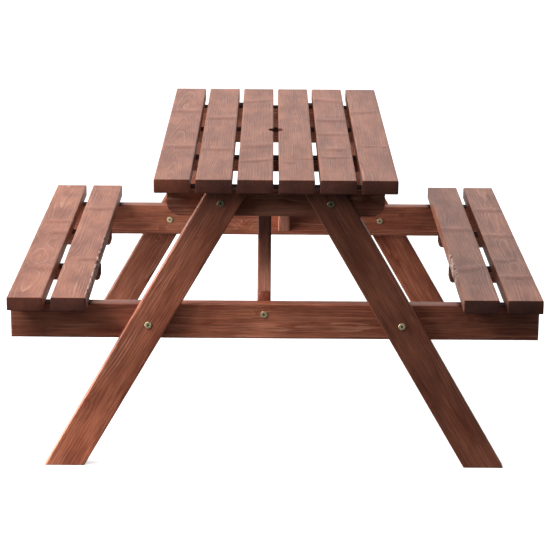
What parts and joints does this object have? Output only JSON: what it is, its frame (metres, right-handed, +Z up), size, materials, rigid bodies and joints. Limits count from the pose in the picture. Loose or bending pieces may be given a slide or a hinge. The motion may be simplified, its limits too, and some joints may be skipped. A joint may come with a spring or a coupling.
{
  "type": "picnic table",
  "caption": "Wooden picnic table with a plank top, a parasol hole, benches on both sides and splayed legs that carry cross bearers and diagonal braces.",
  "frame": {"origin": "on the ground, under the middle of the parasol hole", "axes": "+X across the table from the left bench to the right bench, +Y along the planks, +Z up"},
  "size_m": [1.322, 1.2, 0.755],
  "materials": {
    "plank_wood": "red-brown wood stain, weathered, matt",
    "frame_wood": "red-brown wood stain, matt",
    "bolt_metal": "yellow zinc plated",
    "screw_metal": "yellow zinc plated"
  },
  "bodies": {
    "root": {"top_plank_1": "plank_wood", "top_plank_2": "plank_wood", "top_plank_3": "plank_wood", "top_plank_4": "plank_wood", "top_plank_5": "plank_wood", "top_plank_6": "plank_wood", "cleat_front": "frame_wood", "cleat_rear": "frame_wood", "mid_batten_front": "frame_wood", "mid_batten_rear": "frame_wood", "leg_front_left": "frame_wood", "leg_front_right": "frame_wood", "leg_rear_left": "frame_wood", "leg_rear_right": "frame_wood", "bearer_front": "frame_wood", "bearer_rear": "frame_wood", "brace_front": "frame_wood", "brace_rear": "frame_wood", "bench_batten_left_front": "frame_wood", "bench_batten_left_rear": "frame_wood", "bench_batten_right_front": "frame_wood", "bench_batten_right_rear": "frame_wood", "bench_plank_left_outer": "plank_wood", "bench_plank_left_inner": "plank_wood", "bench_plank_right_inner": "plank_wood", "bench_plank_right_outer": "plank_wood", "leg_bolts": "bolt_metal", "leg_sleeve_nuts": "bolt_metal", "brace_bolts": "bolt_metal", "brace_barrel_nuts": "bolt_metal", "cleat_screws": "screw_metal", "mid_batten_screws": "screw_metal", "bench_batten_screws": "screw_metal", "bearer_screws": "screw_metal", "brace_screws": "screw_metal"}
  },
  "joints": []
}
